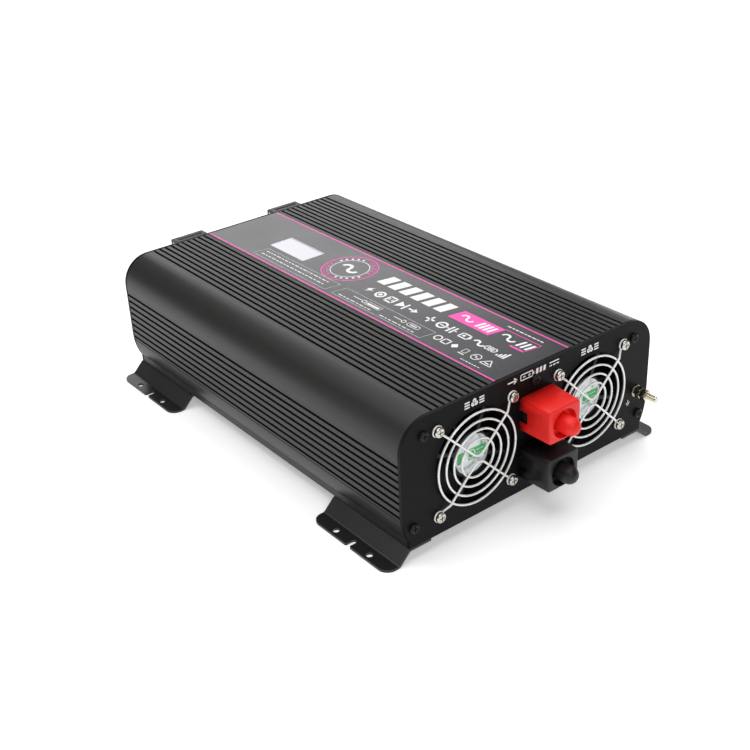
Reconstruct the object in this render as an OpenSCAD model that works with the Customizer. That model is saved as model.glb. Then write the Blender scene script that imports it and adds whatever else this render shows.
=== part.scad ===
// Power inverter: an extruded aluminium casing between two end plates, with two
// guarded 80 mm fans and covered battery terminals at the front, and covered
// outlets, a rocker switch and small sockets at the rear. It stands on four bent feet.
// X is across, +Y runs from the front plate to the rear plate, +Z is up, and the
// origin is on the floor below the middle of the casing.

/* [Casing] */
// Widest width of the casing
body_w = 256; // [250:1:310]
// Height of the casing above the feet
body_h = 103.5; // [100:0.5:130]
// Length over both end plates
body_l = 390; // [360:1:470]
// Wall of the casing extrusion
wall = 3.5; // [2.5:0.1:4.5]
// Thickness of each end plate
plate_t = 3; // [2:0.1:4]
// Radius of the two upper edges
corner_r = 25; // [21:0.5:30]
// Radius of the curve that tucks the side in towards the base
tuck_r = 48; // [44:0.5:60]
// Height above the base at which the side starts to tuck in
tuck_h = 29; // [24:0.5:34]
// Height of the base plate's edge strip
strip_h = 6; // [5:0.1:8]
// Thickness of the base plate
base_t = 3; // [2:0.1:4]

/* [Grooves] */
// Width of one groove
groove_w = 2.4; // [1:0.1:3]
// Depth of one groove
groove_d = 1.7; // [0.8:0.1:2]
// Grooves on each side face
side_grooves = 8; // [4:1:8]
// Spacing of the side grooves
side_pitch = 6; // [5:0.1:6.2]
// Height above the base of the lowest side groove
side_groove_h = 28; // [28:0.5:34]
// Grooves on each half of the top
top_grooves = 10; // [4:1:10]
// Spacing of the top grooves
top_pitch = 5.8; // [5:0.1:5.8]
// Distance of the first top groove from the middle
top_groove_x = 44.3; // [43:0.1:46]

/* [Feet] */
// Height of the casing above the floor
foot_h = 12; // [9:0.5:20]
// Sheet thickness of a foot
foot_t = 2; // [1.5:0.1:3]
// Length of a foot
foot_l = 90; // [84:1:110]
// Distance between the outer edges of the left and right feet, less the casing's width
foot_spread = 33.4; // [30:0.2:44]
// Width of the flat flange that meets the floor
foot_flange = 12.5; // [11:0.1:14]
// Corner radius of the flange
foot_corner_r = 9; // [4:0.5:10]
// Distance of the foot holes from the flange's outer edge
foot_hole_in = 4.9; // [4.5:0.1:6]
// Inner radius of a foot's two bends
foot_bend_r = 3; // [1:0.5:4]
// Radius of a foot hole
foot_hole_r = 2.75; // [2:0.05:3]
// Distance between the two holes of one foot
foot_hole_gap = 40; // [30:1:44]

/* [Fans] */
// Side of a fan frame
fan_size = 80; // [76:0.5:80]
// Depth of a fan
fan_depth = 25; // [20:0.5:32]
// Distance between the two fan axes
fan_gap = 118.4; // [118:0.2:122]
// Spacing of the fan screws
fan_screw_gap = 71.5; // [69:0.1:71.5]
// Blades on a rotor
blades = 7; // [5:1:9]
// Radius of the outer ring of a guard
guard_r = 37.4; // [36:0.1:38]
// Radius of the guard wire
wire_r = 0.85; // [0.6:0.05:1]

/* [Terminals] */
// Sideways place of the battery terminals
term_x = 1; // [-2:0.5:2]
// Height of the positive terminal above the base
pos_h = 67.8; // [66:0.2:74]
// Height of the negative terminal above the base
neg_h = 26.5; // [24:0.2:30]
// Width of a terminal cover
cover_w = 33; // [32:0.5:34]
// Height of a terminal cover
cover_h = 26.5; // [26:0.5:32]
// Depth of a terminal cover in front of the plate
cover_d = 30; // [30:0.5:36]
// Wall of a terminal cover
cover_t = 2; // [1.5:0.1:2.4]
// Radius of a battery stud
stud_r = 4; // [3:0.5:4]
// Sideways place of the earth stud
earth_x = 114; // [112:0.5:115]
// Height of the earth stud above the base
earth_h = 39; // [34:0.5:50]
// Radius of the earth stud
earth_r = 2.5; // [2.5:0.5:3]

/* [Display] */
// Width of the display window
lcd_w = 25; // [20:0.5:30]
// Length of the display window
lcd_l = 52; // [40:0.5:60]
// Distance of the window's rear end from the rear of the casing
lcd_rear = 65; // [50:0.5:80]
// Width of the printed film on the top
film_w = 78; // [60:0.5:80]
// Thickness of the printed film
film_t = 0.3; // [0.2:0.05:0.5]

/* [Rear sockets] */
// Distance between the two outlets
outlet_gap = 107.4; // [100:0.5:120]
// Distance of the middle of an outlet below the top of the casing
outlet_drop = 33; // [32:0.5:36]
// Width of an outlet frame
outlet_w = 44; // [42:0.5:48]
// Height of an outlet frame
outlet_tall = 50; // [48:0.5:50]
// Width of a lid's hinge
hinge_w = 32; // [28:0.5:36]
// Radius of a lid's hinge pin
pin_r = 1.25; // [1:0.05:1.5]
// Half the thickness of a lid's hinge bar
bar_half = 4; // [3.8:0.1:4.2]
// Height of the rocker switch above the base
switch_h = 74; // [72:0.5:76]
// Height of the charging sockets above the base
usb_h = 48; // [46:0.5:50]
// Height of the remote socket above the base
remote_h = 24; // [23:0.5:27]

/* [Fits] */
// Running clearance on a radius
run_gap = 0.05; // [0.02:0.01:0.09]
// Clearance between pieces that move past each other
move_gap = 0.4; // [0.3:0.05:0.6]
// Clearance of a seated piece in its opening
seat_gap = 0.2; // [0.1:0.05:0.4]

/* [Hidden] */
$fn = 64;
eps = 0.5;

base_z = foot_h;
top_z = base_z + body_h;
strip_z = base_z + strip_h;
tuck_z = base_z + tuck_h;
front_y = -body_l / 2;
rear_y = body_l / 2;
front_in = front_y + plate_t;
rear_in = rear_y - plate_t;
casing_l = body_l - 2 * plate_t;
tuck_x = body_w / 2 - tuck_r;
corner_x = body_w / 2 - corner_r;
strip_x = tuck_x + sqrt(pow(tuck_r, 2) - pow(tuck_z - strip_z, 2));
rail_w = 12;
lip_t = 2.5;

// Screw bosses that run the length of the extrusion: [x, z]
boss_r = 5;
core_r = 1.65;
web_t = 3;
web_l = 13;
upper_boss = [body_w / 2 - 20.6, top_z - 15];
lower_boss = [body_w / 2 - 9.8, base_z + 16.7];
middle_boss = [0, top_z - 11.3];
end_screws = [
  upper_boss, [-upper_boss[0], upper_boss[1]],
  lower_boss, [-lower_boss[0], lower_boss[1]],
  middle_boss
];
end_hole_r = 2.2;

base_screw_x = strip_x - rail_w / 2;
base_screw_gap = 62.4;
base_screw_ys = [for (k = [-1:1]) k * base_screw_gap];

foot_edge_x = (body_w + foot_spread) / 2;
foot_bend_x = foot_edge_x - foot_flange;
foot_hole_x = foot_edge_x - foot_hole_in;
foot_rise = foot_h - foot_t;
foot_tab = 20;
foot_y = body_l / 2 - foot_l / 2;
foot_screw_gap = 50;
foot_screw_x = strip_x - foot_tab + 5;
foot_slot_r = 2.2;
bend_steps = 8;
foot_slot_in = 6;
foot_slot_round = 1.5;

fan_x = fan_gap / 2;
fan_z = base_z + body_h / 2;
fan_bore_r = fan_size / 2 - 1.8;
fan_ring_t = 1.4;
fan_flange = 4;
hub_r = 17;
bush_r = 4;
shaft_r = 1.5;
plate_hole_r = fan_bore_r + 0.3;
guard_z = 3;
ring_gap = 7.3;
guard_rings = 4;
weld = 0.3;
bead = 0.06;
apex_r = 7;
fan_signs = [-1, 1];

term_holes = [base_z + neg_h, base_z + pos_h];
term_hole_w = 24;
term_hole_h = 18;
collar_d = 7;
earth_z = base_z + earth_h;
earth_nut_w = 3.2 * earth_r;

lcd_y = rear_y - lcd_rear - lcd_l / 2;
lens_t = 2;
display_deep = 14;

outlet_x = outlet_gap / 2;
outlet_z = top_z - outlet_drop;
frame_t = 4;
socket_w = outlet_w - 12;
socket_h = outlet_tall - 14;
hinge_y = rear_y + 9.5;
hinge_z = outlet_z + outlet_tall / 2 + 3.5;
hinge_round = 2.5;
ear_t = 4;
lid_w = outlet_w - 2;
lid_low = outlet_z - outlet_tall / 2 + 2;
lid_top = hinge_z - bar_half - 1.2;
lid_wall = 2;
coils = 4;
spring_wire = 0.4;
spring_r = pin_r + 0.35 + spring_wire;

switch_z = base_z + switch_h;
rocker_r = 9;
rocker_half = 4.4;
rocker_top = 5.1;
rocker_tilt = 8;
usb_z = base_z + usb_h;
remote_z = base_z + remote_h;

board_t = 1.6;
board_z = base_z + base_t + 9;
board_w = body_w - 46;
board_front = front_in + fan_depth + 8;
board_rear = rear_in - 10;
board_top = board_z + board_t;
post_r = 3.5;
board_screw_x = board_w / 2 - 6;
board_screw_ys = [for (k = [0:3]) board_front + 6 + k * (board_rear - board_front - 12) / 3];
heat_x = board_w / 2 - 14;
heat_t = 5;
heat_h = 52;
heat_y0 = board_front + 32;
heat_l = 226;
control_y = 0;
bus_in = 137;
choke_in = 40;
bar_t = 2.5;
bar_w = 14;

// ---- Shared shapes ----

// Extrude a drawing of X and Z along +Y from y0
module along_y(y0, len) {
  translate([0, y0 + len, 0]) rotate([90, 0, 0]) linear_extrude(len) children();
}

// Place children so that their +Z points out of the front plate
module front_at(x, z, y = front_y) {
  translate([x, y, z]) rotate([90, 0, 0]) children();
}

// Place children so that their +Z points out of the rear plate
module rear_at(x, z, y = rear_y) {
  translate([x, y, z]) rotate([-90, 0, 0]) children();
}

// A rectangle centred on the origin with round corners
module round_rect(w, h, r) {
  square([w - 2 * r, h], center = true);
  square([w, h - 2 * r], center = true);
  for (sx = [-1, 1], sy = [-1, 1])
    translate([sx * (w / 2 - r), sy * (h / 2 - r)]) circle(r = r);
}

// Pan-head machine screw along +Z: the head stands on z = 0, the shank goes down
module pan_screw(head_r, head_h, shank_r, shank_l) {
  difference() {
    union() {
      rotate_extrude() {
        square([head_r, head_h * 0.45]);
        square([head_r * 0.62, head_h]);
        translate([head_r * 0.62, head_h * 0.45])
          intersection() {
            scale([head_r * 0.38, head_r * 0.38]) circle(r = 1);
            square(head_r);
          }
      }
      translate([0, 0, -shank_l]) cylinder(r = shank_r, h = shank_l + 0.01);
    }
    for (a = [0, 90]) rotate([0, 0, a])
      translate([-head_r * 0.55, -head_r * 0.11, head_h * 0.45])
        cube([head_r * 1.1, head_r * 0.22, head_h]);
  }
}

module hex_nut(across, bore_r, h) {
  difference() {
    cylinder(r = across / 2 / cos(30), h = h, $fn = 6);
    translate([0, 0, -eps]) cylinder(r = bore_r, h = h + 2 * eps);
  }
}

module ring(r_out, r_in, h) {
  difference() {
    cylinder(r = r_out, h = h);
    translate([0, 0, -eps]) cylinder(r = r_in, h = h + 2 * eps);
  }
}

// ---- Casing ----

// Section of the casing above the base strip, moved in by inset
module casing_outline(inset = 0, drop = 0) {
  low = strip_z - drop;
  for (s = [-1, 1]) {
    translate([s * corner_x, top_z - corner_r]) circle(r = corner_r - inset);
    intersection() {
      translate([s * tuck_x, tuck_z]) circle(r = tuck_r - inset);
      translate([s * tuck_x - tuck_r, low]) square([2 * tuck_r, tuck_r]);
    }
  }
  translate([-corner_x, top_z - corner_r]) square([2 * corner_x, corner_r - inset]);
  translate([-body_w / 2 + inset, tuck_z])
    square([body_w - 2 * inset, top_z - corner_r - tuck_z]);
  translate([-tuck_x, low]) square([2 * tuck_x, tuck_z - low]);
}

module end_outline() {
  casing_outline();
  translate([-strip_x, base_z]) square([2 * strip_x, strip_h + eps]);
}

module groove_section() {
  for (s = [-1, 1], i = [0:side_grooves - 1])
    translate([s * body_w / 2, base_z + side_groove_h + i * side_pitch])
      square([2 * groove_d, groove_w], center = true);
  for (s = [-1, 1], i = [0:top_grooves - 1])
    translate([s * (top_groove_x + i * top_pitch), top_z])
      square([groove_w, 2 * groove_d], center = true);
}

module boss_section() {
  for (s = [-1, 1]) {
    translate([s * upper_boss[0], upper_boss[1]]) {
      circle(r = boss_r);
      rotate(90 - s * 45) translate([0, -web_t / 2]) square([web_l, web_t]);
    }
    translate([s * lower_boss[0], lower_boss[1]]) circle(r = boss_r);
    translate([s * (strip_x - rail_w / 2 - 1) - rail_w / 2, strip_z]) square([rail_w, lip_t]);
  }
  translate(middle_boss) {
    circle(r = boss_r);
    translate([-web_t / 2, 0]) square([web_t, top_z - wall / 2 - middle_boss[1]]);
  }
}

module body_extrusion() {
  color([0.09, 0.09, 0.10])
  difference() {
    along_y(front_in, casing_l) difference() {
      union() {
        difference() {
          casing_outline();
          casing_outline(wall, 1);
        }
        boss_section();
      }
      groove_section();
      for (p = end_screws) translate(p) circle(r = core_r);
    }
    // Window and pocket for the display
    translate([-lcd_w / 2, lcd_y - lcd_l / 2, top_z - wall - eps]) cube([lcd_w, lcd_l, wall + 2 * eps]);
    translate([-lcd_w / 2 - 5, lcd_y - lcd_l / 2 - 8, top_z - wall - display_deep])
      cube([lcd_w + 10, lcd_l + 16, display_deep]);
    for (s = [-1, 1], y = base_screw_ys)
      translate([s * base_screw_x, y, strip_z - eps]) cylinder(r = core_r, h = lip_t + 2 * eps);
  }
}

module base_plate() {
  color([0.10, 0.10, 0.11])
  difference() {
    union() {
      translate([-strip_x, front_in, base_z]) cube([2 * strip_x, casing_l, base_t]);
      for (s = [-1, 1])
        translate([s * (strip_x - rail_w / 2) - rail_w / 2, front_in, base_z])
          cube([rail_w, casing_l, strip_h]);
    }
    for (s = [-1, 1], y = base_screw_ys)
      translate([s * base_screw_x, y, base_z - eps]) {
        cylinder(r = 1.7, h = strip_h + 2 * eps);
        cylinder(r = 3.6, h = eps + 2);
      }
    for (s = [-1, 1], e = [-1, 1], k = [-1, 1])
      translate([s * foot_screw_x, e * foot_y + k * foot_screw_gap / 2, base_z - eps])
        cylinder(r = 1.65, h = base_t + 2 * eps);
  }
}

// Flat screws under the base, heads sunk level with its face
module base_screws() {
  color("dimgray")
  for (s = [-1, 1], y = base_screw_ys)
    translate([s * base_screw_x, y, base_z]) {
      cylinder(r = 3.5, h = 1.9);
      cylinder(r = core_r, h = strip_h + lip_t - 0.2);
    }
}

module end_plate(y0) {
  along_y(y0, plate_t) difference() {
    end_outline();
    for (p = end_screws) translate(p) circle(r = end_hole_r);
    children();
  }
}

module fan_corner_points() {
  for (sx = [-1, 1], sz = [-1, 1])
    translate([sx * fan_screw_gap / 2, sz * fan_screw_gap / 2]) children();
}

module front_plate() {
  color([0.08, 0.08, 0.09])
  end_plate(front_y) {
    for (s = fan_signs) translate([s * fan_x, fan_z]) {
      circle(r = plate_hole_r);
      fan_corner_points() circle(r = 2.2);
    }
    for (z = term_holes)
      translate([term_x - term_hole_w / 2, z - term_hole_h / 2]) square([term_hole_w, term_hole_h]);
    translate([earth_x, earth_z]) circle(r = earth_r + 0.2);
  }
}

module vent_slots() {
  for (s = [-1, 1], i = [0:13], row = [0, 1])
    translate([s * (outlet_x - 32 + i * 5), base_z + 12 + row * 15]) {
      square([2.4, 10], center = true);
      for (k = [-1, 1]) translate([0, k * 5]) circle(r = 1.2);
    }
}

module rear_plate() {
  color([0.08, 0.08, 0.09])
  end_plate(rear_in) {
    for (s = [-1, 1]) translate([s * outlet_x, outlet_z])
      square([socket_w + 2 * seat_gap, socket_h + 2 * seat_gap], center = true);
    translate([0, switch_z]) square([19 + 2 * seat_gap, 13 + 2 * seat_gap], center = true);
    translate([0, usb_z]) square([22 + 2 * seat_gap, 23 + 2 * seat_gap], center = true);
    translate([0, remote_z]) square([15 + 2 * seat_gap, 13 + 2 * seat_gap], center = true);
    vent_slots();
  }
}

module front_plate_screws() {
  color([0.05, 0.05, 0.05])
  for (p = end_screws) front_at(p[0], p[1]) pan_screw(4, 2.2, core_r, 12);
}

module rear_plate_screws() {
  color([0.05, 0.05, 0.05])
  for (p = end_screws) rear_at(p[0], p[1]) pan_screw(4, 2.2, core_r, 12);
}

// ---- Feet ----

// Points along a bend of the sheet about a centre, from one angle to another
function foot_bend(centre, r, from, to) = [
  for (k = [0:bend_steps]) let (a = from + (to - from) * k / bend_steps) centre + r * [cos(a), sin(a)]
];

// The sheet from the tab under the base, down a 45 degree slope, to the flange on the floor
module foot_section() {
  outer = foot_bend_r + foot_t;
  low = [foot_bend_x + (foot_bend_r + foot_t / 2) * tan(22.5), outer];
  high_x = low[0] - (foot_h - 2 * outer) - 2 * (foot_bend_r + outer) * sin(45);
  high = [high_x, foot_h - outer];
  polygon(concat(
    [[strip_x - foot_tab, foot_rise]], foot_bend(high, foot_bend_r, 90, 45),
    foot_bend(low, outer, 225, 270), [[foot_edge_x, 0], [foot_edge_x, foot_t]],
    foot_bend(low, foot_bend_r, 270, 225), foot_bend(high, outer, 45, 90),
    [[strip_x - foot_tab, foot_h]]
  ));
}

// One foot, for +X and with its long side along Y, centred on y = 0
module foot() {
  difference() {
    translate([0, foot_l / 2, 0]) rotate([90, 0, 0]) linear_extrude(foot_l) foot_section();
    for (s = [-1, 1]) {
      translate([foot_hole_x, s * foot_hole_gap / 2, -eps]) cylinder(r = foot_hole_r, h = foot_t + 2 * eps);
      translate([foot_screw_x, s * foot_screw_gap / 2, foot_rise - eps])
        cylinder(r = 1.8, h = foot_t + 2 * eps);
      // Round outer corners
      translate([0, s * (foot_l / 2 - foot_corner_r), -eps]) difference() {
        translate([foot_edge_x - foot_corner_r, s > 0 ? 0 : -foot_corner_r - eps, 0])
          cube([foot_corner_r + eps, foot_corner_r + eps, foot_t + 2 * eps]);
        translate([foot_edge_x - foot_corner_r, 0, -eps])
          cylinder(r = foot_corner_r, h = foot_t + 4 * eps);
      }
    }
    // Open slot between the holes
    translate([foot_edge_x - foot_slot_in, 0, -eps]) {
      cylinder(r = foot_slot_r, h = foot_t + 2 * eps);
      translate([0, -foot_slot_r, 0]) cube([foot_slot_in + eps, 2 * foot_slot_r, foot_t + 2 * eps]);
    }
    for (s = [-1, 1])
      translate([foot_edge_x - foot_slot_round, s * foot_slot_r, -eps]) difference() {
        translate([0, s > 0 ? -eps : -foot_slot_round, 0])
          cube([foot_slot_round + eps, foot_slot_round + eps, foot_t + 2 * eps]);
        translate([0, s * foot_slot_round, -eps]) cylinder(r = foot_slot_round, h = foot_t + 4 * eps);
      }
  }
}

module foot_at(sx, sy) {
  color([0.08, 0.08, 0.09])
  mirror([sx < 0 ? 1 : 0, 0, 0]) translate([0, sy * foot_y, 0]) foot();
}

module foot_front_left() { foot_at(-1, -1); }
module foot_front_right() { foot_at(1, -1); }
module foot_rear_left() { foot_at(-1, 1); }
module foot_rear_right() { foot_at(1, 1); }

module foot_screws() {
  color("silver")
  for (s = [-1, 1], e = [-1, 1], k = [-1, 1])
    translate([s * foot_screw_x, e * foot_y + k * foot_screw_gap / 2, foot_rise])
      rotate([180, 0, 0]) pan_screw(3.4, 2.1, 1.6, 6);
}

// ---- Top film and display ----

module top_film() {
  color([0.16, 0.15, 0.17])
  difference() {
    translate([-film_w / 2, front_in, top_z]) cube([film_w, casing_l, film_t]);
    translate([-lcd_w / 2, lcd_y - lcd_l / 2, top_z - eps]) cube([lcd_w, lcd_l, film_t + 2 * eps]);
  }
}

module display_window() {
  color([0.8, 0.82, 0.85])
  translate([-lcd_w / 2 + seat_gap, lcd_y - lcd_l / 2 + seat_gap, top_z + film_t - lens_t])
    cube([lcd_w - 2 * seat_gap, lcd_l - 2 * seat_gap, lens_t]);
}

// Glass panel and driver board below the window
module display_module() {
  glass_top = top_z + film_t - lens_t;
  color([0.2, 0.4, 0.3])
  union() {
    translate([-lcd_w / 2 + 1, lcd_y - lcd_l / 2 + 1, glass_top - 4]) cube([lcd_w - 2, lcd_l - 2, 4]);
    translate([-lcd_w / 2 - 4, lcd_y - lcd_l / 2 - 6, top_z - wall - 3.5]) cube([lcd_w + 8, lcd_l + 12, 1.6]);
    for (sx = [-1, 1], sy = [-1, 1])
      translate([sx * (lcd_w / 2 + 1.8), lcd_y + sy * (lcd_l / 2 + 3.5), top_z - wall - 2.2])
        cylinder(r = 1.8, h = 2.2);
  }
}

// ---- Fans ----

// Fan pieces are drawn along +Z from the plate inwards, then stood behind the plate
module fan_place(s) {
  translate([s * fan_x, front_in, fan_z]) rotate([-90, 0, 0]) children();
}

module fan_frame() {
  color([0.06, 0.06, 0.07]) {
    difference() {
      union() {
        for (z = [0, fan_depth - fan_flange])
          translate([0, 0, z]) linear_extrude(fan_flange) round_rect(fan_size, fan_size, 4);
        cylinder(r = fan_bore_r + fan_ring_t, h = fan_depth);
      }
      translate([0, 0, -eps]) cylinder(r = fan_bore_r, h = fan_depth + 2 * eps);
      for (z = [0, fan_depth - fan_flange]) translate([0, 0, z - eps])
        linear_extrude(fan_flange + 2 * eps) fan_corner_points() circle(r = 2.2);
    }
    // Motor plate on four struts, with the bearing bush behind it
    difference() {
      union() {
        translate([0, 0, 1]) cylinder(r = hub_r + 1, h = 2.5);
        for (a = [0:3]) rotate([0, 0, 20 + 90 * a])
          translate([hub_r - 1, -1.5, 1]) cube([fan_bore_r + 0.6 - hub_r + 1, 3, 3]);
        cylinder_at(bush_r, 3, 12);
      }
      cylinder_at(shaft_r + run_gap, 5, 12);
    }
  }
}

module cylinder_at(r, z, h) {
  translate([0, 0, z]) cylinder(r = r, h = h);
}

module fan_frame_left() { fan_place(-1) fan_frame(); }
module fan_frame_right() { fan_place(1) fan_frame(); }

module fan_rotor() {
  color([0.10, 0.10, 0.11]) {
    difference() {
      cylinder_at(hub_r, 5, fan_depth - 8);
      cylinder_at(hub_r - 1.8, 4, fan_depth - 9);
    }
    cylinder_at(shaft_r, 6, fan_depth - 9);
    intersection() {
      for (i = [0:blades - 1]) rotate([0, 0, i * 360 / blades])
        translate([hub_r - 0.4, 0, 5 + (fan_depth - 8) / 2]) rotate([42, 0, 0])
          translate([0, -11, -0.8]) cube([fan_bore_r, 22, 1.6]);
      cylinder_at(fan_bore_r - 1, 6, fan_depth - 10);
    }
  }
}

module fan_rotor_left() { fan_place(-1) fan_rotor(); }
module fan_rotor_right() { fan_place(1) fan_rotor(); }

// Wound stators inside the rotor hubs, pressed on the bushes
module fan_stators() {
  color("peru")
  for (s = fan_signs) fan_place(s) difference() {
    union() {
      cylinder_at(bush_r + 2, 4.5, 10);
      for (a = [0:3]) rotate([0, 0, 45 + 90 * a]) translate([0, -2.5, 6.5]) cube([13, 5, 6]);
      difference() {
        cylinder_at(13.8, 6, 7);
        cylinder_at(12.2, 5, 9);
        for (a = [0:3]) rotate([0, 0, 90 * a]) translate([8, -1.5, 5]) cube([8, 3, 9]);
      }
    }
    cylinder_at(bush_r, 4, 12);
  }
}

module fan_stickers() {
  color([0.75, 0.85, 0.75])
  for (s = fan_signs) fan_place(s) cylinder_at(hub_r, 0.7, 0.3);
}

// A straight wire between two points
module wire(a, b, r) {
  d = b - a;
  len = norm(d);
  translate(a) rotate([0, acos(d[2] / len), atan2(d[1], d[0])]) cylinder(r = r, h = len, $fn = 24);
}

// One of the two bent cross wires: from screw to screw, round an apex below the middle
module cross_wire() {
  front = guard_z + 2 * wire_r - weld;
  half = fan_screw_gap / 2;
  bend = apex_r * sin(45);
  eye = 3.9;
  rise_to = half - 8;
  for (s = [-1, 1]) {
    wire([s * bend, bend, front], [s * rise_to, rise_to, front], wire_r);
    wire([s * rise_to, rise_to, front], [s * (half - eye * sin(45)), half - eye * sin(45), wire_r], wire_r);
    translate([s * rise_to, rise_to, front]) sphere(r = wire_r + bead, $fn = 32);
    translate([s * half, half, wire_r]) rotate_extrude() translate([eye, 0]) circle(r = wire_r, $fn = 24);
  }
  translate([0, apex_r / sin(45), front]) rotate([0, 0, 225])
    rotate_extrude(angle = 90) translate([apex_r, 0]) circle(r = wire_r, $fn = 24);
}

module fan_guard(s) {
  color("gainsboro")
  front_at(s * fan_x, fan_z) {
    for (i = [0:guard_rings - 1])
      translate([0, 0, guard_z]) rotate_extrude() translate([guard_r - i * ring_gap, 0])
        circle(r = wire_r, $fn = 24);
    cross_wire();
    rotate([0, 0, 180]) cross_wire();
  }
}

module fan_guard_left() { fan_guard(-1); }
module fan_guard_right() { fan_guard(1); }

module fan_screws() {
  color("silver")
  for (s = fan_signs) front_at(s * fan_x, fan_z, front_y)
    fan_corner_points() translate([0, 0, 2 * wire_r])
      pan_screw(4.2, 2.6, 2, 2 * wire_r + plate_t + fan_flange + 5);
}

module fan_nuts() {
  color("silver")
  for (s = fan_signs) translate([s * fan_x, front_in + fan_flange + 3.2, fan_z]) rotate([90, 0, 0])
    fan_corner_points() hex_nut(7, 2, 3.2);
}

// ---- Battery terminals and earth stud ----

module terminal_at(z) {
  front_at(term_x, z) children();
}

module terminal_insulators() {
  color([0.07, 0.07, 0.08])
  for (z = term_holes) terminal_at(z) difference() {
    union() {
      linear_extrude(collar_d)
        square([cover_w - 2 * (cover_t + move_gap), cover_h - 2 * (cover_t + move_gap)], center = true);
      translate([0, 0, -plate_t]) linear_extrude(plate_t + eps)
        square([term_hole_w - 2 * seat_gap, term_hole_h - 2 * seat_gap], center = true);
      translate([0, 0, -plate_t - 4]) linear_extrude(4)
        square([term_hole_w + 6, term_hole_h + 5], center = true);
    }
    translate([0, 0, -plate_t - 4 - eps]) cylinder(r = stud_r, h = collar_d + plate_t + 4 + 2 * eps);
  }
}

module terminal_studs() {
  color([0.8, 0.68, 0.35])
  for (z = term_holes) terminal_at(z) {
    translate([0, 0, -plate_t - 4]) cylinder(r = stud_r, h = cover_d - 10 + plate_t + 4);
    translate([0, 0, -plate_t - 4 - bar_t - 5])
      cylinder(r = 6.5 / cos(30), h = 5, $fn = 6);
    translate([0, 0, -plate_t - 4 - bar_t]) cylinder(r = stud_r, h = bar_t);
  }
}

module terminal_washers() {
  color("silver")
  for (z = term_holes) terminal_at(z) translate([0, 0, collar_d]) ring(8, stud_r, 1.6);
}

module terminal_nuts() {
  color("silver")
  for (z = term_holes) terminal_at(z) translate([0, 0, collar_d + 1.6]) hex_nut(13, stud_r, 6.5);
}

// A moulded boot: a hollow block, open at the plate, with a capped nose in a round recess
module terminal_cover() {
  face_t = 8;
  recess_r = cover_h / 2 - 1.4;
  recess_d = 6;
  nose_r = 7.2;
  nose_l = recess_d + 13.3;
  difference() {
    translate([0, 0, move_gap]) linear_extrude(cover_d - move_gap) round_rect(cover_w, cover_h, 3);
    translate([0, 0, -eps]) linear_extrude(cover_d - face_t + eps)
      square([cover_w - 2 * cover_t, cover_h - 2 * cover_t], center = true);
    translate([0, 0, cover_d - recess_d]) cylinder(r = recess_r, h = recess_d + eps);
    // Finger notch in the rim of each side
    translate([-cover_w, -4.8, -eps]) cube([2 * cover_w, 9.6, 8 + eps]);
  }
  translate([0, 0, cover_d - recess_d - 0.01]) rotate_extrude() {
    square([nose_r, nose_l - nose_r]);
    translate([0, nose_l - nose_r]) intersection() {
      circle(r = nose_r);
      square(nose_r);
    }
  }
}

module positive_cover() { color([0.85, 0.10, 0.10]) terminal_at(term_holes[1]) terminal_cover(); }
module negative_cover() { color([0.07, 0.07, 0.07]) terminal_at(term_holes[0]) terminal_cover(); }

module earth_stud() {
  color([0.85, 0.8, 0.65])
  front_at(earth_x, earth_z) {
    translate([0, 0, -plate_t - 4]) cylinder(r = earth_r, h = 26 + plate_t);
    translate([0, 0, -plate_t - 4]) cylinder(r = earth_nut_w / 2 / cos(30), h = 4, $fn = 6);
  }
}

module earth_washers() {
  color("silver")
  front_at(earth_x, earth_z) {
    ring(2 * earth_r, earth_r, 1.2);
    translate([0, 0, 5.7]) ring(1.8 * earth_r, earth_r, 1.4);
  }
}

module earth_nuts() {
  color([0.85, 0.8, 0.65])
  front_at(earth_x, earth_z) {
    translate([0, 0, 1.2]) hex_nut(earth_nut_w, earth_r, 4.5);
    translate([0, 0, 7.1]) hex_nut(earth_nut_w, earth_r, 5.5);
  }
}

// ---- Outlets at the rear ----

// Three flat slots in the usual fan layout, turned by their angles
module outlet_slots() {
  for (s = [-1, 1]) translate([s * 6.9, 4.5]) rotate(s * 30) square([2.2, 7.6], center = true);
  translate([0, -5.4]) square([2.2, 8.2], center = true);
}

// A bar along X on the hinge's axis, square in section with round edges
module hinge_bar(len) {
  translate([-len / 2, hinge_y, hinge_z]) rotate([90, 0, 90]) linear_extrude(len)
    round_rect(2 * bar_half, 2 * bar_half, hinge_round);
}

module hinge_hole(r) {
  translate([-hinge_w, hinge_y, hinge_z]) rotate([0, 90, 0]) cylinder(r = r, h = 2 * hinge_w);
}

// Drawn in X and Z and extruded out of the rear plate
module outlet_body() {
  color([0.07, 0.07, 0.08])
  difference() {
    union() {
      translate([0, 0, outlet_z]) along_y(rear_y, frame_t) round_rect(outlet_w, outlet_tall, 4);
      translate([0, 0, outlet_z]) along_y(rear_in - 16, 16 + plate_t + eps)
        square([socket_w, socket_h], center = true);
      // A back behind the hinge, and two ears that carry the lid's pin
      translate([-hinge_w / 2, rear_y, outlet_z])
        cube([hinge_w, frame_t, hinge_z + bar_half - outlet_z]);
      for (e = [-1, 1])
        translate([e * (hinge_w - ear_t) / 2, 0, 0]) {
          hinge_bar(ear_t);
          translate([-ear_t / 2, rear_y, hinge_z - bar_half])
            cube([ear_t, hinge_y - rear_y, 2 * bar_half]);
        }
    }
    translate([0, 0, outlet_z]) along_y(rear_y - 10, 20) outlet_slots();
    hinge_hole(pin_r);
  }
}

module outlet_left() { translate([-outlet_x, 0, 0]) outlet_body(); }
module outlet_right() { translate([outlet_x, 0, 0]) outlet_body(); }

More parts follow.
